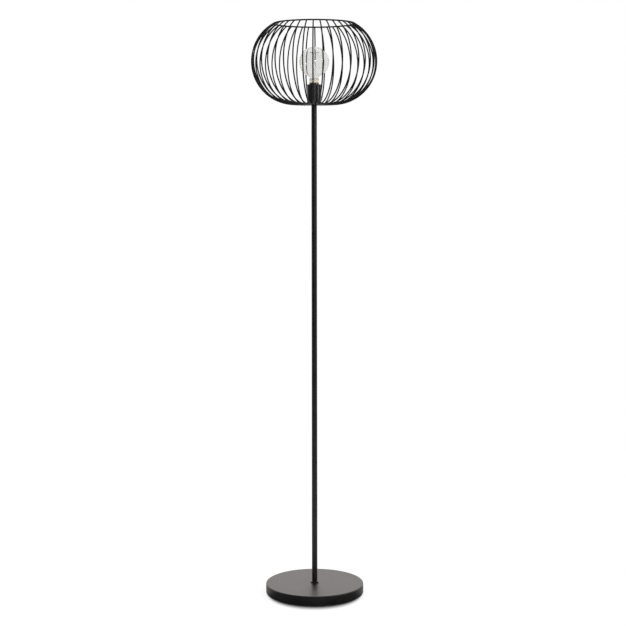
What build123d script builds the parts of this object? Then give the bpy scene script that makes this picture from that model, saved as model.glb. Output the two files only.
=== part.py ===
from build123d import *

import os
from math import acos, cos, degrees, pi, sin, sqrt

# Wire cage floor lamp. Millimetres, +Z up, origin on the floor at the middle of the foot,
# -Y towards the viewer. The foot is a pressed steel cover over a cast weight, the pole is
# three screwed tubes, and the cage is a ring of bent wires around a globe bulb that screws
# into its holder by a real round thread.

# Whole lamp
lamp_height = 1550.0            # floor to the top of the cage's ring

# Foot
base_diameter = 268.0
base_height = 29.5
cover_wall = 1.5
cover_edge_radius = 2.5         # outside, where the top rolls over into the skirt
skirt_gap = 4.0                 # floor to the skirt's lower edge
pad_thickness = 5.5
pad_clearance = 7.0             # all round, inside the skirt, so that the foot seems to float
weight_clearance = 0.5          # all round, inside the skirt
recess_diameter = 44.0          # pocket for the nut in the weight's underside
recess_depth = 12.0
channel_width = 13.0            # groove for the lead, from the pocket to the rear
channel_height = 12.0
nut_across_flats = 17.0
nut_height = 5.0
stud_tail = 2.0                 # how far the stud stands out below the nut
collar_diameter = 22.5
collar_thickness = 3.0
collar_edge_radius = 1.0

# Lead inlet in the skirt, at the rear
inlet_diameter = 9.0
grommet_flange_diameter = 13.0
grommet_barb_diameter = 11.0
grommet_flange_thickness = 1.6
grommet_barb_thickness = 1.6
grommet_bore = 6.4

# Pole and the hollow threaded tubes that join it
pole_diameter = 15.0
pole_wall = 1.2
pole_names = ("pole_lower", "pole_middle", "pole_upper")    # equal tubes, from the foot up
pole_end_length = 15.0          # the thicker, threaded stretch at each end of a tube
pole_end_chamfer = 0.3
stud_diameter = 10.0
stud_bore = 7.0
stud_engagement = 13.0          # how deep a stud goes into a tube
stud_clearance = 0.25           # radial, where a stud passes through a plain hole

# Cage
cage_diameter = 336.0           # outside, over the wires
ring_diameter = 213.0           # to the middle of the ring's wire
bend_radius = 112.7             # to the middle of the wire
wire_diameter = 3.6
ring_wire_diameter = 4.0
wire_pairs = 20                 # neighbouring wires, two to a pair
wires_in_pair = 2
first_wire_angle = 7.9          # degrees from +X, towards +Y
hub_diameter = 54.0
hub_thickness = 4.0
hub_edge_radius = 0.5

# Lamp holder
holder_diameter = 38.5
holder_height = 50.0
cup_wall = 1.0
cup_foot_radius = 3.0
cup_lip_radius = 0.4
insert_clearance = 0.3          # radial, between the cup and the moulded insert
insert_drop = 1.0               # cup's rim to the top of the insert
insert_lip = 1.0                # top of the insert to the top of the screw shell
boss_height = 9.0               # threaded bottom of the insert
chamber_diameter = 27.0         # wiring space in the insert
partition_thickness = 6.0
lead_hole_diameter = 3.0
lead_hole_circle = 16.0
shell_wall = 0.4                # thinnest, at the bottom of the thread
shell_foot_gap = 0.5            # partition to the screw shell's lower edge
tongue_width = 6.0
tongue_thickness = 0.5
tongue_foot = 10.0              # how far its foot reaches from the axis
tongue_nose = 3.5               # how far its contact face reaches past the axis
tongue_drop = 4.0               # contact face to the partition

# Round thread of the bulb's cap
thread_pitch = 3.629
thread_diameter = 26.2
thread_depth = 0.9
thread_play = 0.12              # radial, all along the thread
thread_steps = 8                # sections to a turn

# Bulb
cap_length = 27.0               # contact to the cap's rim
cap_standoff = 4.7              # holder's rim to the cap's rim
cap_skirt_length = 4.5          # the plain stretch above the thread
cap_wall = 0.4
tip_diameter = 9.5
tip_height = 1.5
insulator_height = 4.0
insulator_diameter = 23.0
cap_floor_opening = 16.0
sleeve_diameter = 25.0
sleeve_wall = 1.5
sleeve_height = 10.5            # above the cap's rim
sleeve_ledge = 1.0              # what the glass stands on, inside the sleeve's foot
cement_clearance = 0.1          # radial, between cap, sleeve and glass
bulb_diameter = 80.0
neck_blend_radius = 8.0
glass_wall = 0.8
stem_height = 64.0
stem_tube_diameter = 8.5
stem_flare_height = 16.0
stem_wall = 1.0
stem_rod_diameter = 3.0
stem_rod_height = 16.0
stem_button_diameter = 5.0
filament_ring_radius = 11.0
filament_diameter = 1.0
filament_opening = 60.0         # degrees, the gap between the filament's two ends
filament_rise = 3.0             # above the button's middle
support_diameter = 0.6
support_count = 5

# Angles, in degrees
full_turn = 360.0
front_angle = -90.0             # the way that -Y points

# Heights and radii that follow from these
cover_top = base_height
cover_underside = base_height - cover_wall
cover_inner_radius = base_diameter / 2 - cover_wall
inlet_height = pad_thickness + channel_height / 2
recess_ceiling = pad_thickness + recess_depth
collar_top = cover_top + collar_thickness
stud_hole_radius = stud_diameter / 2 + stud_clearance
threaded_hole_radius = stud_diameter / 2

ring_height = lamp_height - ring_wire_diameter / 2
bend_centre_radius = cage_diameter / 2 - wire_diameter / 2 - bend_radius
bend_end_angle = acos((ring_diameter / 2 - bend_centre_radius) / bend_radius)
bend_sweep = 90 + degrees(bend_end_angle)       # from level at the bottom to the ring
wire_step = full_turn / (wire_pairs * wires_in_pair)
wire_floor = ring_height - bend_radius * (1 + sin(bend_end_angle))
hub_bottom = wire_floor - hub_thickness / 2
hub_top = wire_floor + hub_thickness / 2

pole_bottom = collar_top
tube_length = (hub_bottom - pole_bottom) / len(pole_names)

cup_floor = hub_top + cup_wall
cup_top = hub_top + holder_height
insert_radius = holder_diameter / 2 - cup_wall - insert_clearance
insert_top = cup_top - insert_drop
shell_top = insert_top - insert_lip
cap_rim = cup_top + cap_standoff
tip_face = cap_rim - cap_length
partition_top = tip_face - tongue_drop
partition_bottom = partition_top - partition_thickness
shell_bottom = partition_top + shell_foot_gap

thread_offset = thread_depth / 2
cap_thread_radius = thread_diameter / 2 - thread_offset
shell_thread_radius = cap_thread_radius + thread_play
shell_outer_radius = shell_thread_radius + thread_offset + shell_wall
cap_bore_radius = cap_thread_radius - thread_offset - cap_wall
cap_floor = tip_face + tip_height + insulator_height
skirt_bottom = cap_rim - cap_skirt_length
sleeve_radius = sleeve_diameter / 2
sleeve_top = cap_rim + sleeve_height
skirt_bore_radius = sleeve_radius + cement_clearance
skirt_radius = skirt_bore_radius + cap_wall
sleeve_bore_radius = sleeve_radius - sleeve_wall
neck_radius = sleeve_bore_radius - cement_clearance
neck_bottom = skirt_bottom + sleeve_ledge
globe_radius = bulb_diameter / 2
globe_centre = sleeve_top + sqrt((globe_radius + neck_blend_radius) ** 2
                                 - (neck_radius + neck_blend_radius) ** 2)

os.makedirs("parts", exist_ok=True)


def save(piece, label):
    """Name a finished piece and write it to its own file."""
    piece.part.label = label
    export_step(piece.part, f"parts/{label}.step")


def thread_sections(radius, bottom, top):
    """Heights and centres of the level circles that make a round thread of one start.

    Every level cut through the thread is one circle, whose centre goes once round the axis
    in each pitch. The angle depends on the height alone, so a cap and a shell made from
    this function are always in step.
    """
    count = round((top - bottom) / thread_pitch * thread_steps)
    for index in range(count + 1):
        height = bottom + (top - bottom) * index / count
        turn = 2 * pi * (height - tip_face) / thread_pitch
        yield radius, height, (thread_offset * cos(turn), thread_offset * sin(turn))


# Foot: pressed cover with a rolled top edge, open below
with BuildPart() as base_cover:
    with BuildSketch(Plane.XY.offset(skirt_gap)):
        Circle(base_diameter / 2)
    extrude(amount=cover_top - skirt_gap)
    fillet(base_cover.edges().group_by(Axis.Z)[-1], cover_edge_radius)
    with BuildSketch(Plane.XY.offset(skirt_gap)):
        Circle(cover_inner_radius)
    extrude(amount=cover_underside - skirt_gap, mode=Mode.SUBTRACT)
    with BuildSketch(Plane.XY.offset(cover_top)):
        Circle(stud_hole_radius)
    extrude(amount=-2 * cover_wall, mode=Mode.SUBTRACT)
    with BuildSketch(Plane.XZ.offset(-base_diameter / 2)):
        with Locations((0, inlet_height)):
            Circle(inlet_diameter / 2)
    extrude(amount=2 * cover_wall, mode=Mode.SUBTRACT)
save(base_cover, "base_cover")

# Cast weight that fills the cover, with the nut's pocket and the groove for the lead
with BuildPart() as base_weight:
    with BuildSketch(Plane.XY.offset(pad_thickness)):
        Circle(cover_inner_radius - weight_clearance)
    extrude(amount=cover_underside - pad_thickness)
    chamfer(base_weight.edges().group_by(Axis.Z)[-1], cover_edge_radius)
    with BuildSketch(Plane.XY.offset(pad_thickness)):
        Circle(recess_diameter / 2)
    extrude(amount=recess_depth, mode=Mode.SUBTRACT)
    with BuildSketch(Plane.XY.offset(pad_thickness)):
        with Locations((0, base_diameter / 4)):
            Rectangle(channel_width, base_diameter / 2)
    extrude(amount=channel_height, mode=Mode.SUBTRACT)
    with BuildSketch(Plane.XY.offset(pad_thickness)):
        Circle(stud_hole_radius)
    extrude(amount=base_height, mode=Mode.SUBTRACT)
save(base_weight, "base_weight")

# Soft pad that the lamp stands on; it closes the pocket and the groove from below
with BuildPart() as base_pad:
    with BuildSketch():
        Circle(cover_inner_radius - pad_clearance)
    extrude(amount=pad_thickness)
save(base_pad, "base_pad")

# Hexagon nut that draws the pole down on the foot
with BuildPart() as base_nut:
    with BuildSketch(Plane.XY.offset(recess_ceiling - nut_height)):
        RegularPolygon(nut_across_flats / 2, 6, major_radius=False)
        Circle(threaded_hole_radius, mode=Mode.SUBTRACT)
    extrude(amount=nut_height)
save(base_nut, "base_nut")

# Collar between the foot and the pole
with BuildPart() as foot_collar:
    with BuildSketch(Plane.XY.offset(cover_top)):
        Circle(collar_diameter / 2)
    extrude(amount=collar_thickness)
    fillet(foot_collar.edges().group_by(Axis.Z)[-1], collar_edge_radius)
    with BuildSketch(Plane.XY.offset(cover_top)):
        Circle(stud_hole_radius)
    extrude(amount=collar_thickness, mode=Mode.SUBTRACT)
save(foot_collar, "foot_collar")

# Hollow stud from the nut, through the foot, into the pole
foot_stud_bottom = recess_ceiling - nut_height - stud_tail
with BuildPart() as foot_stud:
    with BuildSketch(Plane.XY.offset(foot_stud_bottom)):
        Circle(stud_diameter / 2)
        Circle(stud_bore / 2, mode=Mode.SUBTRACT)
    extrude(amount=pole_bottom + stud_engagement - foot_stud_bottom)
save(foot_stud, "foot_stud")

# Grommet in the skirt: a flange outside and a barb inside, both seated on the round wall
inlet_plane = Plane.XZ.offset(-(base_diameter / 2 - cover_wall / 2))
with BuildPart() as lead_grommet:
    with BuildSketch(inlet_plane):
        with Locations((0, inlet_height)):
            Circle(grommet_flange_diameter / 2)
    extrude(amount=-(cover_wall / 2 + grommet_flange_thickness))
    with BuildSketch(inlet_plane):
        with Locations((0, inlet_height)):
            Circle(grommet_barb_diameter / 2)
    extrude(amount=cover_wall / 2 + grommet_barb_thickness)
    add(base_cover.part, mode=Mode.SUBTRACT)
    with BuildSketch(inlet_plane):
        with Locations((0, inlet_height)):
            Circle(grommet_bore / 2)
    extrude(amount=base_diameter / 2, both=True, mode=Mode.SUBTRACT)
save(lead_grommet, "lead_grommet")

# Pole: equal tubes, each with a thicker threaded stretch at both ends
pole_radius = pole_diameter / 2
for order, name in enumerate(pole_names):
    tube_bottom = pole_bottom + order * tube_length
    tube_top = tube_bottom + tube_length
    with BuildPart() as pole_tube:
        with BuildSketch(Plane.XZ):
            Polygon(
                (threaded_hole_radius, tube_bottom),
                (pole_radius, tube_bottom),
                (pole_radius, tube_top),
                (threaded_hole_radius, tube_top),
                (threaded_hole_radius, tube_top - pole_end_length),
                (pole_radius - pole_wall, tube_top - pole_end_length),
                (pole_radius - pole_wall, tube_bottom + pole_end_length),
                (threaded_hole_radius, tube_bottom + pole_end_length),
                align=None,
            )
        revolve(axis=Axis.Z)
        rims = pole_tube.edges().filter_by(GeomType.CIRCLE)
        rims = rims.filter_by(lambda edge: abs(edge.radius - pole_radius) < pole_end_chamfer)
        chamfer(rims, pole_end_chamfer)
    save(pole_tube, name)

# Threaded nipples: one in each joint of the pole, and one that carries cage and holder
with BuildPart() as pole_nipples:
    for joint in range(1, len(pole_names) + 1):
        with BuildSketch(Plane.XY.offset(pole_bottom + joint * tube_length - stud_engagement)):
            Circle(stud_diameter / 2)
            Circle(stud_bore / 2, mode=Mode.SUBTRACT)
        extrude(amount=2 * stud_engagement)
save(pole_nipples, "pole_nipples")

# Cage: the hub plate that the wires are welded to
with BuildPart() as cage_hub:
    with BuildSketch(Plane.XY.offset(hub_bottom)):
        Circle(hub_diameter / 2)
    extrude(amount=hub_thickness)
    fillet(cage_hub.edges(), hub_edge_radius)
    with BuildSketch(Plane.XY.offset(hub_bottom)):
        Circle(stud_hole_radius)
    extrude(amount=hub_thickness, mode=Mode.SUBTRACT)
save(cage_hub, "cage_hub")

# The ring that closes the cage's open top
with BuildPart() as cage_ring:
    with BuildSketch(Plane.XZ):
        with Locations((ring_diameter / 2, ring_height)):
            Circle(ring_wire_diameter / 2)
    revolve(axis=Axis.Z)
save(cage_ring, "cage_ring")

# The wires: a straight run out from the hub, then one long arc up and in to the ring
for pair in range(wire_pairs):
    with BuildPart() as cage_wires:
        for member in range(wires_in_pair):
            angle = first_wire_angle + wire_step * (pair * wires_in_pair + member)
            with BuildLine(Plane.XZ.rotated((0, 0, angle))) as wire_path:
                run = Line((hub_diameter / 2 - wire_diameter / 2, wire_floor),
                           (bend_centre_radius, wire_floor))
                JernArc(start=run @ 1, tangent=run % 1, radius=bend_radius,
                        arc_size=bend_sweep)
            with BuildSketch(Plane(origin=wire_path.line @ 0, z_dir=wire_path.line % 0)):
                Circle(wire_diameter / 2)
            sweep(path=wire_path.line)
        add(cage_hub.part, mode=Mode.SUBTRACT)
        add(cage_ring.part, mode=Mode.SUBTRACT)
    save(cage_wires, f"cage_wires_{pair + 1:02d}")

# Lamp holder: the painted cup
with BuildPart() as holder_cup:
    with BuildSketch(Plane.XY.offset(hub_top)):
        Circle(holder_diameter / 2)
    extrude(amount=holder_height)
    fillet(holder_cup.edges().group_by(Axis.Z)[0], cup_foot_radius)
    with BuildSketch(Plane.XY.offset(cup_floor)):
        Circle(holder_diameter / 2 - cup_wall)
    extrude(amount=holder_height, mode=Mode.SUBTRACT)
    fillet(holder_cup.edges().group_by(Axis.Z)[-1], cup_lip_radius)
    with BuildSketch(Plane.XY.offset(hub_top)):
        Circle(stud_hole_radius)
    extrude(amount=2 * cup_wall, mode=Mode.SUBTRACT)
save(holder_cup, "holder_cup")

# The moulded insert: threaded boss, wiring chamber, partition, and the screw shell's seat
chamber_floor = cup_floor + boss_height
with BuildPart() as holder_insert:
    with BuildSketch(Plane.XY.offset(cup_floor)):
        Circle(insert_radius)
    extrude(amount=insert_top - cup_floor)
    chamfer(holder_insert.edges().group_by(Axis.Z)[0], cup_foot_radius)
    with BuildSketch(Plane.XY.offset(cup_floor)):
        Circle(threaded_hole_radius)
    extrude(amount=boss_height, mode=Mode.SUBTRACT)
    with BuildSketch(Plane.XY.offset(chamber_floor)):
        Circle(chamber_diameter / 2)
    extrude(amount=partition_bottom - chamber_floor, mode=Mode.SUBTRACT)
    with BuildSketch(Plane.XY.offset(partition_bottom)):
        with Locations((0, lead_hole_circle / 2), (0, -lead_hole_circle / 2)):
            Circle(lead_hole_diameter / 2)
    extrude(amount=partition_thickness, mode=Mode.SUBTRACT)
    with BuildSketch(Plane.XY.offset(partition_top)):
        Circle(shell_outer_radius)
    extrude(amount=insert_top - partition_top, mode=Mode.SUBTRACT)
save(holder_insert, "holder_insert")

# The screw shell in the insert; its bore is the cap's thread plus the play
with BuildPart() as thread_bore:
    for radius, height, centre in thread_sections(
            shell_thread_radius, shell_bottom - thread_pitch, shell_top + thread_pitch):
        with BuildSketch(Plane.XY.offset(height)):
            with Locations(centre):
                Circle(radius)
    loft()
with BuildPart() as holder_shell:
    with BuildSketch(Plane.XY.offset(shell_bottom)):
        Circle(shell_outer_radius)
    extrude(amount=shell_top - shell_bottom)
    add(thread_bore.part, mode=Mode.SUBTRACT)
save(holder_shell, "holder_shell")

# Sprung tongue under the bulb's contact, drawn as the bulb presses it
tongue_top = tip_face
ramp = tongue_drop - tongue_thickness
with BuildPart() as holder_tongue:
    with BuildSketch(Plane.XZ):
        Polygon(
            (-tongue_foot, partition_top),
            (-tongue_nose - ramp, partition_top),
            (-tongue_nose, tongue_top - tongue_thickness),
            (tongue_nose, tongue_top - tongue_thickness),
            (tongue_nose, tongue_top),
            (-tongue_nose - tongue_thickness / 2, tongue_top),
            (-tongue_nose - tongue_thickness / 2 - ramp, partition_top + tongue_thickness),
            (-tongue_foot, partition_top + tongue_thickness),
            align=None,
        )
    extrude(amount=tongue_width / 2, both=True)
save(holder_tongue, "holder_tongue")

# Bulb: the soldered contact, a low dome that bears on the tongue
with BuildPart() as bulb_tip:
    with BuildSketch(Plane.XZ):
        with BuildLine():
            ThreePointArc((0, tip_face),
                          (tip_diameter / 4, tip_face + tip_height / 4),
                          (tip_diameter / 2, tip_face + tip_height))
            Line((tip_diameter / 2, tip_face + tip_height), (0, tip_face + tip_height))
            Line((0, tip_face + tip_height), (0, tip_face))
        make_face()
    revolve(axis=Axis.Z)
save(bulb_tip, "bulb_tip")

# The black glass cone between the contact and the cap
with BuildPart() as bulb_insulator:
    with BuildSketch(Plane.XY.offset(tip_face + tip_height)):
        Circle(tip_diameter / 2)
    with BuildSketch(Plane.XY.offset(cap_floor)):
        Circle(insulator_diameter / 2)
    loft()
save(bulb_insulator, "bulb_insulator")

# The metal cap: threaded below, with a plain skirt around the sleeve's foot
with BuildPart() as bulb_cap:
    for radius, height, centre in thread_sections(cap_thread_radius, cap_floor, skirt_bottom):
        with BuildSketch(Plane.XY.offset(height)):
            with Locations(centre):
                Circle(radius)
    loft()
    with BuildSketch(Plane.XY.offset(skirt_bottom)):
        Circle(skirt_radius)
    extrude(amount=cap_skirt_length)
    with BuildSketch(Plane.XY.offset(cap_floor)):
        Circle(cap_floor_opening / 2)
    extrude(amount=cap_wall, mode=Mode.SUBTRACT)
    with BuildSketch(Plane.XY.offset(cap_floor + cap_wall)):
        Circle(cap_bore_radius)
    extrude(amount=skirt_bottom - cap_floor - cap_wall, mode=Mode.SUBTRACT)
    with BuildSketch(Plane.XY.offset(skirt_bottom)):
        Circle(skirt_bore_radius)
    extrude(amount=cap_skirt_length, mode=Mode.SUBTRACT)
save(bulb_cap, "bulb_cap")

# The pale sleeve that joins the glass to the cap, with a ledge under the glass
with BuildPart() as bulb_sleeve:
    with BuildSketch(Plane.XY.offset(skirt_bottom)):
        Circle(sleeve_radius)
    extrude(amount=sleeve_top - skirt_bottom)
    with BuildSketch(Plane.XY.offset(neck_bottom)):
        Circle(sleeve_bore_radius)
    extrude(amount=sleeve_top - neck_bottom, mode=Mode.SUBTRACT)
    with BuildSketch(Plane.XY.offset(skirt_bottom)):
        Circle(neck_radius - glass_wall)
    extrude(amount=sleeve_ledge, mode=Mode.SUBTRACT)
save(bulb_sleeve, "bulb_sleeve")

# The clear glass: a globe that runs into the neck by one hollow curve
blend_centre = (neck_radius + neck_blend_radius, sleeve_top)
globe_share = globe_radius / (globe_radius + neck_blend_radius)
meeting = (blend_centre[0] * globe_share,
           globe_centre + (sleeve_top - globe_centre) * globe_share)
inner_meeting_share = (globe_radius - glass_wall) / (globe_radius + neck_blend_radius)
inner_meeting = (blend_centre[0] * inner_meeting_share,
                 globe_centre + (sleeve_top - globe_centre) * inner_meeting_share)
with BuildPart() as bulb_glass:
    with BuildSketch(Plane.XZ):
        with BuildLine():
            Line((neck_radius - glass_wall, neck_bottom), (neck_radius, neck_bottom))
            Line((neck_radius, neck_bottom), (neck_radius, sleeve_top))
            RadiusArc((neck_radius, sleeve_top), meeting, neck_blend_radius)
            RadiusArc(meeting, (0, globe_centre + globe_radius), -globe_radius)
            Line((0, globe_centre + globe_radius),
                 (0, globe_centre + globe_radius - glass_wall))
            RadiusArc((0, globe_centre + globe_radius - glass_wall), inner_meeting,
                      globe_radius - glass_wall)
            RadiusArc(inner_meeting, (neck_radius - glass_wall, sleeve_top),
                      -neck_blend_radius - glass_wall)
            Line((neck_radius - glass_wall, sleeve_top),
                 (neck_radius - glass_wall, neck_bottom))
        make_face()
    revolve(axis=Axis.Z)
save(bulb_glass, "bulb_glass")

# The glass mount inside: a flare sealed to the neck, a tube, a rod and a button
flare_radius = neck_radius - glass_wall
stem_top = neck_bottom + stem_height
rod_top = stem_top + stem_rod_height
tube_radius = stem_tube_diameter / 2
with BuildPart() as bulb_stem:
    with BuildSketch(Plane.XZ):
        with BuildLine():
            Polyline((flare_radius - stem_wall, neck_bottom), (flare_radius, neck_bottom),
                     (flare_radius, neck_bottom + stem_wall),
                     (tube_radius, neck_bottom + stem_flare_height),
                     (tube_radius, stem_top), (0, stem_top),
                     (0, stem_top - tube_radius),
                     (tube_radius - stem_wall, stem_top - 2 * tube_radius),
                     (tube_radius - stem_wall, neck_bottom + stem_flare_height),
                     (flare_radius - stem_wall, neck_bottom + stem_wall),
                     close=True)
        make_face()
    revolve(axis=Axis.Z)
    with BuildSketch(Plane.XY.offset(stem_top)):
        Circle(stem_rod_diameter / 2)
    extrude(amount=stem_rod_height)
    with Locations((0, 0, rod_top)):
        Sphere(stem_button_diameter / 2)
save(bulb_stem, "bulb_stem")

# Lead wires, supports and the filament's open ring, crimped and welded into one piece
filament_height = rod_top + filament_rise
lead_foot = stem_top - stem_wall
lead_angles = (front_angle - filament_opening / 2, front_angle + filament_opening / 2)
support_span = full_turn - filament_opening
support_angles = [lead_angles[1] + support_span * (number + 1) / (support_count + 1)
                  for number in range(support_count)]
lead_foot_radius = tube_radius / 2
spokes = [((lead_foot_radius, lead_foot), angle) for angle in lead_angles]
spokes += [((0, rod_top), angle) for angle in support_angles]
with BuildPart() as bulb_filament:
    with BuildLine(Plane.XY.offset(filament_height)) as filament_line:
        CenterArc((0, 0), filament_ring_radius, lead_angles[1], support_span)
    with BuildSketch(Plane(origin=filament_line.line @ 0, z_dir=filament_line.line % 0)):
        Circle(filament_diameter / 2)
    sweep(path=filament_line.line)
    for foot, angle in spokes:
        with BuildLine(Plane.XZ.rotated((0, 0, angle))) as spoke_line:
            Line(foot, (filament_ring_radius, filament_height))
        with BuildSketch(Plane(origin=spoke_line.line @ 0, z_dir=spoke_line.line % 0)):
            Circle(support_diameter / 2)
        sweep(path=spoke_line.line)
    add(bulb_stem.part, mode=Mode.SUBTRACT)
save(bulb_filament, "bulb_filament")
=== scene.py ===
# %% [markdown]
# # Dressing a wire cage floor lamp
#
# The lamp comes from a CAD program as a fixed frame: a flat round foot, a pole of three tubes,
# a cage of forty bent wires and a clear globe bulb. Its shapes and sizes are settled.
# What is left is what the eye reads as real: how powder coat catches a white studio, how thin
# glass darkens towards its rim, and the small lumps of weld and coiled wire that a drawing
# leaves out. The frame is loaded first, so that every new piece can be placed by its boxes.
# %% Load the lamp
import math

import bpy
from mathutils import Matrix, Vector


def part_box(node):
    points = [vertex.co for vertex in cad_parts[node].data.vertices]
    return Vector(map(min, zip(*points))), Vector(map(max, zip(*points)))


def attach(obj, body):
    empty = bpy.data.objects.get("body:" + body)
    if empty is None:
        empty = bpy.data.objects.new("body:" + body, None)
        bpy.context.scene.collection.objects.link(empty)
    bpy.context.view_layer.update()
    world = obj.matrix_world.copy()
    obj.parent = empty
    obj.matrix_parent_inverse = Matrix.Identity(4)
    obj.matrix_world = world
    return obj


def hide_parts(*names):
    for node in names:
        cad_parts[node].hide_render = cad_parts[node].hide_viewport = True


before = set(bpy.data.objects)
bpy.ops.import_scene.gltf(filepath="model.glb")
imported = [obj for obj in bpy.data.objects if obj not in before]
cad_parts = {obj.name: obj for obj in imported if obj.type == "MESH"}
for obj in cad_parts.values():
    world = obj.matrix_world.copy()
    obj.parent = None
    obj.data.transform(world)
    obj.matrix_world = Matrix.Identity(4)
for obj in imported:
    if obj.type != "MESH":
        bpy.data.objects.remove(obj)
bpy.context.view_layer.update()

# %% [markdown]
# ## Sums on sockets
#
# A finish is a small calculation: some noise, a little more of it in the hollows, a limit.
# It could be drawn as boxes and wires by hand, but a sum is easier to read as a sum. So one
# class wraps an output socket and lends it the signs + - *, and each sign adds a Math node.
# %% A socket that does sums
class Amount:
    """A number that changes over a surface. Sums with it add Math nodes."""

    def __init__(self, recipe, socket):
        self.recipe, self.socket = recipe, socket

    def maths(self, operation, *others):
        terms = dict(enumerate((self, *others)))
        return self.recipe.node("ShaderNodeMath", {"operation": operation}, terms)

    def __add__(self, other):
        return self.maths("ADD", other)

    def __mul__(self, other):
        return self.maths("MULTIPLY", other)

    def __sub__(self, other):
        return self.maths("SUBTRACT", other)

    def __rsub__(self, other):
        return self * -1 + other

    __radd__, __rmul__ = __add__, __mul__


# %% [markdown]
# ## A recipe for a finish
#
# Every node is made by one method: its type, its settings, then what goes into its sockets.
# Two short methods on top of it cover what nearly every finish here needs: noise of a stated
# size in metres, and a bump of a stated height. Sizes are the real ones, so that the same
# recipe looks right on a thin wire and on the wide foot.
# %% Recipes
class Recipe:
    """The nodes of one material or of the world."""

    def __init__(self, owner):
        owner.use_nodes = True
        self.owner, self.tree = owner, owner.node_tree
        self.tree.nodes.clear()

    def node(self, kind, settings=None, sockets=None, output=0):
        made = self.tree.nodes.new(kind)
        for name, setting in (settings or {}).items():
            setattr(made, name, setting)
        for name, value in (sockets or {}).items():
            if isinstance(value, Amount):
                self.tree.links.new(value.socket, made.inputs[name])
            else:
                made.inputs[name].default_value = value
        return Amount(self, made.outputs[output] if made.outputs else None)

    def noise(self, blob, detail=2.0, stretch=(1, 1, 1)):
        """Soft blobs about this many metres across, from 0 to 1."""
        place = self.node("ShaderNodeTexCoord", output="Object")
        pulled = self.node("ShaderNodeMapping", {}, {"Vector": place, "Scale": stretch})
        return self.node("ShaderNodeTexNoise", {},
                         {"Vector": pulled, "Scale": 1 / blob, "Detail": detail})

    def between(self, mask, first, second):
        """The first colour where the mask is 0, the second where it is 1."""
        return self.node("ShaderNodeMix", {"data_type": "RGBA"},
                         {0: mask, 6: (*first, 1), 7: (*second, 1)}, output=2)

    def limits(self, value, low, high, to_low=0.0, to_high=1.0):
        """The value's range from low to high, eased and laid over a new one."""
        return self.node("ShaderNodeMapRange", {"interpolation_type": "SMOOTHSTEP"},
                         {"Value": value, "From Min": low, "From Max": high,
                          "To Min": to_low, "To Max": to_high})

    def bump(self, height, metres, strength=1.0):
        return self.node("ShaderNodeBump", {},
                         {"Height": height, "Distance": metres, "Strength": strength})

    def rays(self):
        """Whether one looks from the camera, off a glossy surface or through glass."""
        return [self.node("ShaderNodeLightPath", output=ray)
                for ray in ("Is Camera Ray", "Is Glossy Ray", "Is Transmission Ray")]

    def surface(self, sockets):
        """Ends a material in the standard surface with these sockets."""
        shader = self.node("ShaderNodeBsdfPrincipled", {}, sockets)
        self.node("ShaderNodeOutputMaterial", {}, {"Surface": shader})
        return self.owner


def finish(name):
    return Recipe(bpy.data.materials.new(name))


def wear(material, *names):
    """Put a finish on CAD nodes, in the slots that they came with."""
    for name in names:
        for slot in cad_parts[name].material_slots:
            slot.material = material
    print(material.name, "on", len(names), "nodes")


# %% [markdown]
# ## Black powder coat
#
# Foot and pole are steel, blasted and sprayed with black powder that melts into a skin in the
# oven. Such a skin is never flat: it sets in shallow dimples about a millimetre wide, like the
# peel of an orange, and its gloss drifts a little from place to place. One flat black would
# look like paper. The dimples go into the bump and the drift into the roughness, and the black
# itself stays dark, since the white room supplies all the greys. The resin at its surface is
# nearly clear, and the Coat sockets add it as a second layer. It reflects most at a shallow
# angle, which is why the foot's top is grey and its rim is nearly black.
# %% Black powder coat
coat = finish("satin_powder_coat")
drift = coat.limits(coat.noise(0.035, 3.0), 0.3, 0.7)
peel = coat.noise(0.0011, 1.5)
coat_material = coat.surface({
    "Base Color": coat.between(drift, (0.003, 0.0028, 0.0028), (0.005, 0.0047, 0.0047)),
    "Roughness": 0.37 + 0.06 * drift + 0.04 * peel,
    "Coat Weight": 0.6 + 0.2 * drift,
    "Coat Roughness": 0.4,
    "Normal": coat.bump(peel, 0.00004),
})
wear(coat_material, "base_cover", "foot_collar", "pole_lower", "pole_middle", "pole_upper")

# %% [markdown]
# ## The cage's duller black
#
# Powder wraps thin wire poorly, so a cage gets a thinner coat with more flatting agent in it.
# It has no clear upper skin, a finer speck and a lower index, which all take light away from
# it. Next to the pole the wires then read as drawn in ink. The nodes are picked by the start
# of their names, because twenty of them hold the forty wires.
# %% Matt cage black
wires = sorted(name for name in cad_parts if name.startswith("cage_wires_"))

matt = finish("matt_cage_black")
speck = matt.noise(0.0008, 2.0)
matt_material = matt.surface({
    "Base Color": matt.between(speck, (0.0025, 0.0025, 0.0028), (0.0045, 0.0045, 0.005)),
    "Roughness": 0.42 + 0.08 * speck,
    "IOR": 1.36,
    "Normal": matt.bump(speck, 0.00002),
})
wear(matt_material, "cage_hub", "cage_ring", *wires)

# %% [markdown]
# ## The holder's lacquer
#
# The cup round the lamp holder is turned steel with a thin wet lacquer, so it is a shade
# smoother and cooler than the powder coat beside it. Turning leaves rings that are too fine
# to count but stretch the highlights along the cup. Noise pulled out round the axis would
# need a wrapped coordinate, but rings only change with height, so noise that is stretched
# wide in the level directions does the same and stays simple.
# %% Holder lacquer
lacquer = finish("holder_lacquer")
rings = lacquer.noise(0.004, 2.0, stretch=(0.06, 0.06, 4))
haze = lacquer.limits(lacquer.noise(0.012, 3.0), 0.3, 0.7)
lacquer_material = lacquer.surface({
    "Base Color": lacquer.between(haze, (0.013, 0.013, 0.0155), (0.02, 0.02, 0.0235)),
    "Roughness": 0.2 + 0.06 * haze + 0.05 * rings,
    "Normal": lacquer.bump(rings, 0.00001),
})
wear(lacquer_material, "holder_cup")

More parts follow.
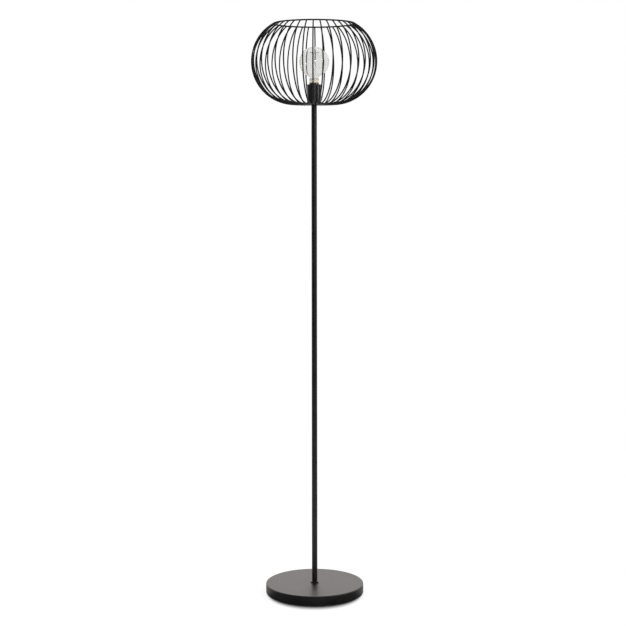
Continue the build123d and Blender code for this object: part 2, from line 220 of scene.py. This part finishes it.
# %% [markdown]
# ## Thin brass and tin
#
# The bulb's cap and the shell that it screws into are rolled from thin brass. Brass that has
# been handled has a clouded gloss: brighter on the crests, duller and browner where fingers
# and heat have been. The sprung contact is the same metal. The contact at the bulb's foot is
# a drop of tin solder, whose surface froze in soft ripples.
# %% Brass and solder
brass = finish("rolled_brass")
cloud = brass.limits(brass.noise(0.003, 4.0), 0.35, 0.7)
scratches = brass.noise(0.0012, 3.0, stretch=(0.25, 0.25, 3))
brass_material = brass.surface({
    "Base Color": brass.between(cloud, (0.3, 0.235, 0.15), (0.17, 0.125, 0.08)),
    "Metallic": 1.0,
    "Roughness": 0.2 + 0.16 * cloud + 0.1 * scratches,
    "Normal": brass.bump(scratches, 0.000015),
})
wear(brass_material, "bulb_cap", "holder_shell", "holder_tongue")

solder = finish("tin_solder")
ripple = solder.noise(0.0015, 2.0)
solder_material = solder.surface({
    "Base Color": solder.between(ripple, (0.5, 0.5, 0.49), (0.66, 0.65, 0.63)),
    "Metallic": 1.0,
    "Roughness": 0.28 + 0.2 * ripple,
    "Normal": solder.bump(ripple, 0.00012),
})
wear(solder_material, "bulb_tip")

# %% [markdown]
# ## The bulb's pale sleeve
#
# Between the metal cap and the glass sits a short moulded sleeve in a cream plastic. Light goes
# a little way into such plastic, so its shading is soft and its tone drifts slightly, warmer
# where the wall is thick. A low grain keeps the highlight from looking like wet paint.
# %% Cream sleeve
cream = finish("cream_sleeve")
tone = cream.limits(cream.noise(0.006, 2.0), 0.3, 0.7)
cream_material = cream.surface({
    "Base Color": cream.between(tone, (0.86, 0.78, 0.63), (0.92, 0.86, 0.74)),
    "Roughness": 0.42 + 0.1 * tone,
    "Normal": cream.bump(cream.noise(0.0006, 1.0), 0.00002),
})
wear(cream_material, "bulb_sleeve")

# %% [markdown]
# ## Blown glass
#
# The globe is blown and its wall is under a millimetre, so one looks through four surfaces:
# in and out of the near wall, in and out of the far one. The standard surface tints light at
# each of them, which is why the tint is set so close to white. Blown glass also has a faint
# unevenness that makes reflections swim, and it is added as a very low, wide bump. The mount
# inside is drawn glass with a fine grain along it.
# %% Glass
globe_glass = finish("blown_glass")
swim = globe_glass.noise(0.02, 1.0)
globe_material = globe_glass.surface({
    "Base Color": (0.87, 0.87, 0.865, 1),
    "Roughness": 0.012 * swim,
    "IOR": 1.5,
    "Transmission Weight": 1.0,
    "Normal": globe_glass.bump(swim, 0.0002),
})
wear(globe_material, "bulb_glass")

stem_glass = finish("drawn_glass")
draw_lines = stem_glass.noise(0.002, 2.0, stretch=(1, 1, 0.08))
stem_material = stem_glass.surface({
    "Base Color": (0.98, 0.98, 0.97, 1),
    "Roughness": 0.04 + 0.08 * draw_lines,
    "IOR": 1.5,
    "Transmission Weight": 1.0,
    "Normal": stem_glass.bump(draw_lines, 0.0001),
})
wear(stem_material, "bulb_stem")

# %% [markdown]
# ## What sits inside and below
#
# Some pieces show only when the bulb is out or the lamp is tipped over: the moulded insert,
# the black glass round the contact, the rubber grommet, the foam pad, the cast weight and the
# plated threads. They still get their own finishes, because a reused part is looked at from
# everywhere. All six come from one noise each, with its own size, gloss and depth.
# %% Inside finishes
def plain_finish(name, blob, dark, light, gloss, depth, metallic=0.0):
    """A finish of one noise: it mixes two tones, moves the gloss and gives the grain."""
    recipe = finish(name)
    grain = recipe.noise(blob, 3.0)
    return recipe.surface({
        "Base Color": recipe.between(recipe.limits(grain, 0.3, 0.7), dark, light),
        "Metallic": metallic,
        "Roughness": gloss + 0.12 * grain,
        "Normal": recipe.bump(grain, depth),
    })


wear(plain_finish("moulded_plastic", 0.0007, (0.012, 0.012, 0.012), (0.022, 0.021, 0.02),
                  0.42, 0.00004), "holder_insert")
wear(plain_finish("black_glass", 0.004, (0.008, 0.007, 0.01), (0.02, 0.016, 0.022),
                  0.08, 0.00006), "bulb_insulator")
wear(plain_finish("soft_rubber", 0.0005, (0.016, 0.016, 0.016), (0.03, 0.029, 0.028),
                  0.62, 0.00005), "lead_grommet")
wear(plain_finish("closed_foam", 0.0012, (0.02, 0.02, 0.021), (0.045, 0.045, 0.046),
                  0.8, 0.00035), "base_pad")
wear(plain_finish("cast_weight", 0.006, (0.24, 0.23, 0.21), (0.38, 0.36, 0.33),
                  0.78, 0.0006), "base_weight")
wear(plain_finish("zinc_plate", 0.003, (0.52, 0.53, 0.54), (0.66, 0.67, 0.67),
                  0.26, 0.00003, metallic=1.0), "base_nut", "foot_stud", "pole_nipples")

# %% [markdown]
# ## Starting a piece by hand
#
# New pieces are modelled as one would with mouse and keys: add a primitive, go into edit
# mode, select, push and pull. An operator works on everything that is selected, and the CAD
# nodes are still selected after loading, so each piece starts by letting go of everything.
# %% Helpers for modelling
def let_go():
    if bpy.context.mode != "OBJECT":
        bpy.ops.object.mode_set(mode="OBJECT")
    bpy.ops.object.select_all(action="DESELECT")


def keep_place_in_mesh(piece):
    """Put the object at the origin, unturned and unscaled, with its place in its mesh."""
    piece.data.transform(piece.matrix_world)
    piece.matrix_world = Matrix.Identity(4)


def apply_modifier(piece, kind, **settings):
    bpy.context.view_layer.objects.active = piece
    modifier = piece.modifiers.new(kind.title(), kind)
    for name, setting in settings.items():
        setattr(modifier, name, setting)
    bpy.ops.object.modifier_apply(modifier=modifier.name)


def join(pieces, name):
    """Make one piece of several; the first keeps its place in the list."""
    let_go()
    for piece in pieces:
        piece.select_set(True)
    bpy.context.view_layer.objects.active = pieces[0]
    bpy.ops.object.join()
    pieces[0].name = name
    return pieces[0]


def dress(piece, body, slot, material, *replaced):
    """Give a finished piece its material, its body and the nodes that it stands for."""
    keep_place_in_mesh(piece)
    piece.data.materials.clear()
    piece.data.materials.append(material)
    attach(piece, body)
    if replaced:
        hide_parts(*replaced)
    count = sum(len(face.vertices) - 2 for face in piece.data.polygons)
    print(piece.name, "has", count, "triangles and rides on", body)


# %% [markdown]
# ## Drawing a line, turning it, pulling it into wire
#
# Nearly everything in a bulb is round, so it could be cut from cylinders and spheres. A glass
# blower thinks of it as one outline that goes round an axis, and Blender can do just that. A
# plane is merged down to a single point, the point is extruded along the outline, and the
# line is spun round the pole's axis. The same line, given thickness, is a piece of wire.
# %% Lines, lathe and wire
same_point = 0.000001           # corners closer than this are one corner


def draw_line(name, points):
    """A chain of edges through these points, left open in edit mode."""
    let_go()
    bpy.ops.mesh.primitive_plane_add(size=0.001, location=points[0])
    piece = bpy.context.object
    piece.name = name
    bpy.ops.object.mode_set(mode="EDIT")
    bpy.ops.mesh.select_all(action="SELECT")
    bpy.ops.mesh.merge(type="CENTER")
    for here, there in zip(points, points[1:]):
        step = Vector(there) - Vector(here)
        bpy.ops.mesh.extrude_region_move(TRANSFORM_OT_translate={"value": step})
    return piece


def turned(name, outline, steps=96):
    """A piece whose outline, in radius and height, goes once round the lamp's axis."""
    piece = draw_line(name, [(radius, 0, height) for radius, height in outline])
    bpy.ops.mesh.select_all(action="SELECT")
    bpy.ops.mesh.spin(steps=steps, angle=2 * math.pi, center=(0, 0, 0), axis=(0, 0, 1))
    bpy.ops.mesh.select_all(action="SELECT")
    bpy.ops.mesh.remove_doubles(threshold=same_point)
    bpy.ops.mesh.normals_make_consistent(inside=False)
    bpy.ops.object.mode_set(mode="OBJECT")
    bpy.ops.object.shade_smooth_by_angle(angle=math.radians(40))
    return piece


def pull_wire(name, points, radius):
    piece = draw_line(name, points)
    bpy.ops.object.mode_set(mode="OBJECT")
    bpy.ops.object.convert(target="CURVE")
    curve = bpy.context.object
    curve.data.bevel_depth = radius
    curve.data.bevel_resolution = 1
    curve.data.use_fill_caps = True
    bpy.ops.object.convert(target="MESH")
    bpy.ops.object.shade_smooth_by_angle(angle=math.radians(50))
    return bpy.context.object


def arc(centre, radius, start, end, steps):
    """Points on a circle, from one angle to another, in degrees."""
    angles = [math.radians(start + (end - start) * step / steps) for step in range(steps + 1)]
    return [(centre[0] + radius * math.cos(angle), centre[1] + radius * math.sin(angle))
            for angle in angles]


# %% [markdown]
# ## The globe, blown again
#
# The drawing's globe is made of flat facets. On steel nobody would see them, but glass bends
# light at each one and the globe would look hammered. Smooth shading needs a mesh whose faces
# share their corners, so the globe is turned from its own outline: down the outside from the
# top, round the hollow curve into the neck, and back up inside at the wall's thickness.
# %% Globe
glass_low, glass_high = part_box("bulb_glass")
sleeve_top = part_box("bulb_sleeve")[1].z
neck_radius, neck_blend, glass_wall, globe_radius = 0.0109, 0.008, 0.0008, 0.040
globe_height = glass_high.z - globe_radius
blend_at = (neck_radius + neck_blend, sleeve_top)
meeting = math.degrees(math.atan2(sleeve_top - globe_height, blend_at[0]))
globe_steps, blend_steps = 44, 8


def glass_skin(depth):
    """The globe's outline at this depth below its outer face, from the top down."""
    return (arc((0, globe_height), globe_radius - depth, 90, meeting, globe_steps)
            + arc(blend_at, neck_blend + depth, 180 + meeting, 180, blend_steps)[1:]
            + [(neck_radius - depth, glass_low.z)])


globe = turned("globe_glass", glass_skin(0) + glass_skin(glass_wall)[::-1])
dress(globe, "bulb", "clear_glass", globe_material, "bulb_glass")

# %% [markdown]
# ## The glass mount
#
# Inside the neck stands the mount, a drawn tube that opens downwards like a trumpet and is
# sealed to the neck. On top of it a rod ends in a button, into which the support wires are
# pressed while the glass is soft. The seal at the trumpet's rim and the button are soft
# shapes, so they are drawn as curves, where the drawing has a straight cone.
# %% Glass mount
mount_low, mount_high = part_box("bulb_stem")
button_radius, rod_radius, tube_radius, tube_wall = 0.0025, 0.0015, 0.00425, 0.001
rod_length, flare_height, seal_height, soft_corner = 0.016, 0.016, 0.001, 0.001
button_steps, corner_steps = 12, 4
button_height = mount_high.z - button_radius
tube_top = button_height - rod_length
flare_top, flare_rim = mount_low.z + flare_height, mount_low.z + seal_height
flare_radius = neck_radius - glass_wall


def trumpet(top_radius, rim_radius, steps=10):
    """A curve that leaves the tube straight down and runs out to the rim."""
    curve = []
    for step in range(steps + 1):
        t = step / steps
        radius = (1 - t * t) * top_radius + t * t * rim_radius
        height = (1 - t) ** 2 * flare_top + (1 - (1 - t) ** 2) * flare_rim
        curve.append((radius, height))
    return curve


rod_meets = math.degrees(math.acos(rod_radius / button_radius))
mount_outline = (
    arc((0, button_height), button_radius, 90, -rod_meets, button_steps)
    + arc((rod_radius + soft_corner, tube_top + soft_corner), soft_corner,
          180, 270, corner_steps)
    + arc((tube_radius - soft_corner, tube_top - soft_corner), soft_corner,
          90, 0, corner_steps)
    + trumpet(tube_radius, flare_radius) + [(flare_radius, mount_low.z)]
    + [(flare_radius - tube_wall, mount_low.z)]
    + trumpet(tube_radius - tube_wall, flare_radius - tube_wall)[::-1]
    + [(tube_radius - tube_wall, tube_top - 2 * tube_radius), (0, tube_top - tube_radius)])
mount = turned("glass_mount", mount_outline, steps=48)
dress(mount, "bulb", "clear_glass", stem_material, "bulb_stem")

# %% [markdown]
# ## The coiled filament
#
# The drawing holds the filament's place with one thick ring. The real one is a wire finer
# than a hair, wound in a close coil and hung in a ring on the support wires. A coil could be
# followed point by point along the ring, but it is easier to wind it straight and bend it:
# a small circle, the Screw modifier for the winding, and Simple Deform to bend it round.
# %% Wind and bend the coil
tungsten = finish("tungsten_wire")
sooty = tungsten.noise(0.0012, 2.0)
tungsten_material = tungsten.surface({
    "Base Color": tungsten.between(sooty, (0.3, 0.29, 0.28), (0.46, 0.44, 0.42)),
    "Metallic": 1.0,
    "Roughness": 0.28 + 0.2 * sooty,
    "Normal": tungsten.bump(sooty, 0.00002),
})

coil_radius, coil_wire, coil_turns, coil_pitch = 0.0005, 0.0001, 96, 0.0006
coil_steps, wire_corners = 12, 5                # corners in each turn and round the wire
ring_share = 300                                # degrees of the ring that the coil fills
filament_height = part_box("bulb_filament")[1].z - coil_radius

let_go()
bpy.ops.mesh.primitive_circle_add(vertices=wire_corners, radius=coil_wire,
                                  location=(coil_radius, 0, 0),
                                  rotation=(math.pi / 2, 0, 0))
coil = bpy.context.object
keep_place_in_mesh(coil)
apply_modifier(coil, "SCREW", axis="Z", angle=2 * math.pi, screw_offset=coil_pitch,
               iterations=coil_turns, steps=coil_steps, render_steps=coil_steps,
               use_merge_vertices=True, merge_threshold=same_point)
coil.data.transform(Matrix.Rotation(math.pi / 2, 4, "Y"))
coil.data.transform(Matrix.Translation((-coil_turns * coil_pitch / 2, 0, 0)))
apply_modifier(coil, "SIMPLE_DEFORM", deform_method="BEND", deform_axis="Z",
               angle=math.radians(ring_share))
bend = coil_turns * coil_pitch / math.radians(ring_share)
coil.data.transform(Matrix.Translation((0, -bend, 0)))
to_its_height = Matrix.Translation((0, 0, filament_height))
coil.data.transform(to_its_height @ Matrix.Rotation(math.pi, 4, "Z"))
corners = [corner.co for corner in coil.data.vertices]
print("coil from", [round(min(c[i] for c in corners), 4) for i in range(3)],
      "to", [round(max(c[i] for c in corners), 4) for i in range(3)],
      "bend radius", round(bend, 5))

# %% [markdown]
# ## Leads and supports
#
# Two stiff leads rise from the mount and are pinched onto the coil's ends, and five thinner
# wires lean out from the button, each with a small eye that the coil lies in. The eye is a
# circle of a few points at the end of the same wire, left open by a gap as a pair of pliers
# leaves it. All wires sag a little between their ends.
# %% Leads and supports
support_count, wire_sag, eye_radius = 5, 0.0006, 0.0007
lead_thickness, support_thickness = 0.0003, 0.00013
eye_turn = 310                  # degrees of a circle, the rest is the gap


def spoke(angle, foot, tip_radius):
    """Points from a foot, in radius and height, out to the ring at this angle."""
    across, up = math.cos(math.radians(angle)), math.sin(math.radians(angle))
    middle = ((foot[0] + tip_radius) / 2, (foot[1] + filament_height) / 2 - wire_sag)
    line = [foot, middle, (tip_radius, filament_height)]
    return [(radius * across, radius * up, height) for radius, height in line]


def eye(angle, centre_radius, points=8):
    """A loop round the coil, which runs through it at this angle."""
    across, up = math.cos(math.radians(angle)), math.sin(math.radians(angle))
    loop = arc((centre_radius, filament_height), eye_radius, 180, 180 + eye_turn, points)
    return [(radius * across, radius * up, height) for radius, height in loop]


gap_angle, half_gap = -90, (360 - ring_share) / 2
lead_angles = (gap_angle - half_gap, gap_angle + half_gap)
lead_foot = (tube_radius / 2, tube_top - tube_wall)
wires_in_bulb = [coil]
for angle in lead_angles:
    wires_in_bulb.append(pull_wire("lead", spoke(angle, lead_foot, bend), lead_thickness))
for number in range(support_count):
    angle = lead_angles[1] + ring_share * (number + 1) / (support_count + 1)
    points = spoke(angle, (0, button_height), bend - eye_radius) + eye(angle, bend)[1:]
    wires_in_bulb.append(pull_wire("support", points, support_thickness))
filament = join(wires_in_bulb, "coiled_filament")
dress(filament, "bulb", "filament_wire", tungsten_material, "bulb_filament")

# %% [markdown]
# ## Putty on the sleeve
#
# The glass is set in its sleeve with a pinkish putty that is smeared over the sleeve's upper
# part by hand and is never quite even. It is turned from a thin outline that rounds over the
# edge, and its points are then shaken a little, which is what gives it the pressed look.
# %% Putty line
putty = finish("pink_putty")
crumb = putty.noise(0.0014, 3.0)
putty_material = putty.surface({
    "Base Color": putty.between(crumb, (0.66, 0.58, 0.54), (0.76, 0.67, 0.62)),
    "Roughness": 0.6 + 0.15 * crumb,
    "Normal": putty.bump(crumb, 0.0002),
})
sleeve_radius, putty_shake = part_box("bulb_sleeve")[1].x, 0.00014
putty_depth, putty_reach, putty_round, putty_grip = 0.0004, 0.004, 0.001, 0.0002
brim, putty_foot = sleeve_radius + putty_depth, sleeve_top - putty_reach
grip_radius, grip_height = sleeve_radius - putty_grip, sleeve_top - putty_grip
putty_outline = ([(neck_radius, sleeve_top + putty_depth)]
                 + arc((brim - putty_round, grip_height), putty_round, 90, 0, corner_steps)
                 + [(brim, putty_foot), (grip_radius, putty_foot - putty_depth),
                    (grip_radius, grip_height), (neck_radius, grip_height),
                    (neck_radius, sleeve_top + putty_depth)])
bead = turned("putty_line", putty_outline, steps=72)
bpy.ops.object.mode_set(mode="EDIT")
bpy.ops.mesh.select_all(action="SELECT")
bpy.ops.transform.vertex_random(offset=putty_shake, seed=4)
bpy.ops.object.mode_set(mode="OBJECT")
dress(bead, "bulb", "cream_plastic", putty_material)

# %% [markdown]
# ## Weld beads
#
# Forty wires are welded to the hub and to the ring, and each weld leaves a bead that the
# powder coat rounds off. One bead is pulled out of an icosphere, and its forty copies are each
# rolled differently before they are set in place, so that no two look alike. At the ring a
# bead wraps the end of each wire. At the hub they sit between neighbours, as a rough seam.
# %% Weld beads
wire_count, first_wire = 40, 7.9                    # how many, and the first one's degrees
bead_lumps, bead_roll, roll_axis = 0.12, 2.4, (1, 2, 3)     # the roll is in radians
hub_low, hub_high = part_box("cage_hub")
hub_middle, hub_radius = (hub_low.z + hub_high.z) / 2, hub_high.x
cage_ring_low, cage_ring_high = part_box("cage_ring")
ring_wire = (cage_ring_high.z - cage_ring_low.z) / 2
ring_middle = (cage_ring_high.x - ring_wire, cage_ring_high.z - ring_wire)


def weld_beads(name, radius, height, size, turn):
    """Forty beads round the axis at this radius and height, turned on from the wires."""
    let_go()
    bpy.ops.mesh.primitive_ico_sphere_add(subdivisions=2, radius=1)
    first = bpy.context.object
    bpy.ops.object.mode_set(mode="EDIT")
    bpy.ops.transform.vertex_random(offset=bead_lumps, seed=9)
    bpy.ops.mesh.normals_make_consistent(inside=False)
    bpy.ops.object.mode_set(mode="OBJECT")
    bpy.ops.object.shade_smooth()
    beads = [first]
    for _ in range(wire_count - 1):
        bead_copy = first.copy()
        bead_copy.data = first.data.copy()
        bpy.context.scene.collection.objects.link(bead_copy)
        beads.append(bead_copy)
    for order, each in enumerate(beads):
        angle = math.radians(first_wire + turn + 360 / wire_count * order)
        each.data.transform(Matrix.Rotation(bead_roll * order, 4, roll_axis))
        each.data.transform(Matrix.Diagonal((*size, 1)))
        each.data.transform(Matrix.Translation((radius, 0, height)))
        each.data.transform(Matrix.Rotation(angle, 4, "Z"))
    welds = join(beads, name)
    dress(welds, "lamp", "black_powder_coat", matt_material)


ring_bead_size, hub_bead_size = (0.0022, 0.0021, 0.0021), (0.0016, 0.001, 0.0018)
ring_bead_out, ring_bead_down, hub_bead_out = 0.0016, 0.0009, 0.0006
weld_beads("ring_welds", ring_middle[0] + ring_bead_out, ring_middle[1] - ring_bead_down,
           ring_bead_size, 0)
weld_beads("hub_welds", hub_radius + hub_bead_out, hub_middle, hub_bead_size,
           180 / wire_count)

# %% [markdown]
# ## The studio's floor
#
# The lamp stands on white paper. The paper keeps a soft shadow round the foot and fades to
# pure white a short way out, so that no edge shows. That shadow is partly real, on the paper's
# dim diffuse part, and mostly painted: the white glow is held back by distance from the axis.
# A real sweep of paper is lit so strongly that it clips to white, but that much light would
# wash the lamp out as well. So the white is shown only to the camera, straight or through
# glass, by way of the Light Path node, and the lamp gets plain light. The foot stands on a pad
# that is set back under its skirt, so the painted shadow starts at the pad, and it is painted
# to reach furthest towards the front. What black metal mirrors is a third picture of the same
# floor, painted as well. In front it is dark near the foot, a painted shadow, brighter further
# out, and painted dark again where the studio ends, and to the sides and the rear it is an
# even grey.
# %% Floor
floor_radius = 3.6
let_go()
bpy.ops.mesh.primitive_circle_add(vertices=96, radius=floor_radius, fill_type="NGON")
floor = bpy.context.object
floor.name = "studio_floor"

pad_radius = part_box("base_pad")[1].x
paper = finish("studio_paper")
camera_ray, mirrored, glass_ray = paper.rays()
looked_at = camera_ray.maths("MAXIMUM", glass_ray)
spot = paper.node("ShaderNodeTexCoord", output="Object")
distance = paper.node("ShaderNodeVectorMath", {"operation": "LENGTH"}, {0: spot},
                      output="Value")
spot_depth = paper.node("ShaderNodeSeparateXYZ", {}, {0: spot}, output="Y")
frontness = (-1 * spot_depth).maths("DIVIDE", distance).maths("MAXIMUM", 0)
towards_camera = frontness * frontness
# A painted shadow round the foot: the white glow rises from about the pad's edge outwards, over
# a reach that is longest towards the front.
tucked_under, front_start, side_reach, front_reach = 0.002, 0.0045, 0.011, 0.028
painted_shadow_start = pad_radius - tucked_under + front_start * towards_camera
painted_shadow_reach = side_reach + front_reach * towards_camera
painted_shadow_fade = paper.limits((distance - painted_shadow_start).maths("DIVIDE", painted_shadow_reach), 0, 1)
# What metal mirrors of the floor is painted: a painted shadow dark near the foot, painted dark
# again far out, and an even grey to the sides.
painted_shade_near_foot = paper.limits(distance, low=0.16, high=0.45, to_low=0.04, to_high=0.5)
painted_dark_far_out = paper.limits(distance, low=1.0, high=2.0, to_low=1.0, to_high=0.06)
in_front = paper.limits(frontness, low=0.0, high=0.35)
side_glow = 0.35
painted_mirror_floor = painted_shade_near_foot * painted_dark_far_out * in_front + side_glow * (1 - in_front)

paper_tone, near_white, near_bounce, far_white, far_bounce = 0.25, 0.79, 0.55, 1.01, 0.8
# The camera sees the paper's real diffuse shade plus the white glow, held back near the foot by
# the painted shadow; mirrors see only the painted floor.
near_strength = (looked_at * painted_shadow_fade * near_white
                 + (1 - looked_at) * (mirrored * painted_mirror_floor + (1 - mirrored) * near_bounce))
far_strength = (looked_at * far_white
                + (1 - looked_at) * (mirrored * painted_mirror_floor + (1 - mirrored) * far_bounce))
lit_tone = paper_tone - paper_tone * mirrored
lit_paper = paper.node("ShaderNodeBsdfDiffuse", {}, {"Color": lit_tone})
lift = paper.node("ShaderNodeEmission", {}, {"Strength": near_strength})
near_floor = paper.node("ShaderNodeAddShader", {}, {0: lit_paper, 1: lift})
far_floor = paper.node("ShaderNodeEmission", {}, {"Strength": far_strength})
far = paper.limits(distance, low=0.35, high=1.1)
sheet = paper.node("ShaderNodeMixShader", {}, {0: far, 1: near_floor, 2: far_floor})
paper.node("ShaderNodeOutputMaterial", {}, {"Surface": sheet})
paper.owner.cycles.emission_sampling = "NONE"
floor.data.materials.append(paper.owner)
print("floor", floor_radius, "m, with its shadow from", round(pad_radius, 4), "m")

# %% [markdown]
# ## The room
#
# The room behind the lamp is white, and clear glass shows that white too. Towards the camera
# the room is dark, as a real studio is behind its photographer. That keeps upright black metal
# black, while the top of the foot, which mirrors the wall behind at a shallow angle, turns mid
# grey. The same Light Path node tells the looks from the light: what falls on the lamp is a
# plain, even white, and only what metal mirrors has this shape and a slightly warm tone.
# %% The room
room = bpy.data.worlds.new("studio_room")
bpy.context.scene.world = room
sky = Recipe(room)
camera_ray, glossy_ray, glass_ray = sky.rays()
way = sky.node("ShaderNodeTexCoord", output="Generated")
side = sky.node("ShaderNodeSeparateXYZ", {}, {0: way}, output="X")
depth = sky.node("ShaderNodeSeparateXYZ", {}, {0: way}, output="Y")
side_window, soft_light = 0.02, 0.9
plain_white, warm_white = (1, 1, 1), (1.0, 0.955, 0.93)
behind = sky.limits(depth, low=0.0, high=0.6, to_low=0.03, to_high=1.04)
walls = behind + side_window * side
clear = camera_ray.maths("MAXIMUM", glass_ray)
brightness = (clear
              + (1 - clear) * (glossy_ray * walls + (1 - glossy_ray) * soft_light))
warmth = sky.between(glossy_ray * (1 - glass_ray), plain_white, warm_white)
glow = sky.node("ShaderNodeBackground", {}, {"Color": warmth, "Strength": brightness})
sky.node("ShaderNodeOutputWorld", {}, {"Surface": glow})
room.cycles.sampling_method = "NONE"
print("soft light", soft_light)

# %% [markdown]
# ## Softboxes
#
# Even light alone shows no shape on a round pole. Three rectangular lamps draw it: a wide one
# overhead, a strip at the right that runs down the edge of pole and holder, and a strip beside
# the camera for the small bright mark on the globe. They are weak beside the room's even
# light, and the camera doesn't see them.
# %% Lamps of the studio
lamp_middle = Vector((0, 0, 1.0))


def softbox(name, place, size, power):
    """A rectangular lamp at a place, turned to the floor lamp's middle."""
    light = bpy.data.lights.new(name, "AREA")
    light.shape, light.size, light.size_y, light.energy = "RECTANGLE", *size, power
    box = bpy.data.objects.new(name, light)
    bpy.context.scene.collection.objects.link(box)
    box.location = place
    aim = lamp_middle - Vector(place)
    box.rotation_euler = aim.to_track_quat("-Z", "Y").to_euler()
    box.visible_camera = False


softbox("overhead_softbox", (0.0, 0.3, 4.2), (3.0, 3.0), 15)
softbox("right_strip", (2.83, -1.05, 1.95), (0.5, 1.1), 14)
softbox("front_strip", (0.95, -5.0, 2.0), (0.6, 1.1), 15)

# %% [markdown]
# ## Camera
#
# The picture was taken from below the cage, tilted down, because the ring's far side shows
# under its near side while the foot is seen from above. Place, tilt and focal length come from
# fitting the foot's rim, the cage's ring and its forty wires to their lines in the picture.
# The focal length is in pixels of a picture 626 wide, and is turned into millimetres for the
# sensor that Blender assumes.
# %% Camera
frame_width_px, focal_px, sensor_mm = 626, 1440.9, 36.0
tilt_down, roll = math.radians(5.965), 0.0013
camera_data = bpy.data.cameras.new("studio_camera")
camera_data.sensor_width = sensor_mm
camera_data.lens = focal_px / frame_width_px * sensor_mm
camera_data.clip_end = 100
camera = bpy.data.objects.new("studio_camera", camera_data)
bpy.context.scene.collection.objects.link(camera)
camera.location = (-0.0032, -3.8787, 1.1816)
camera.rotation_euler = (math.radians(90) - tilt_down, roll, 0)
bpy.context.scene.camera = camera
bpy.context.scene.view_settings.view_transform = "Standard"
print("lens", round(camera_data.lens, 2), "mm, from", [round(x, 3) for x in camera.location])
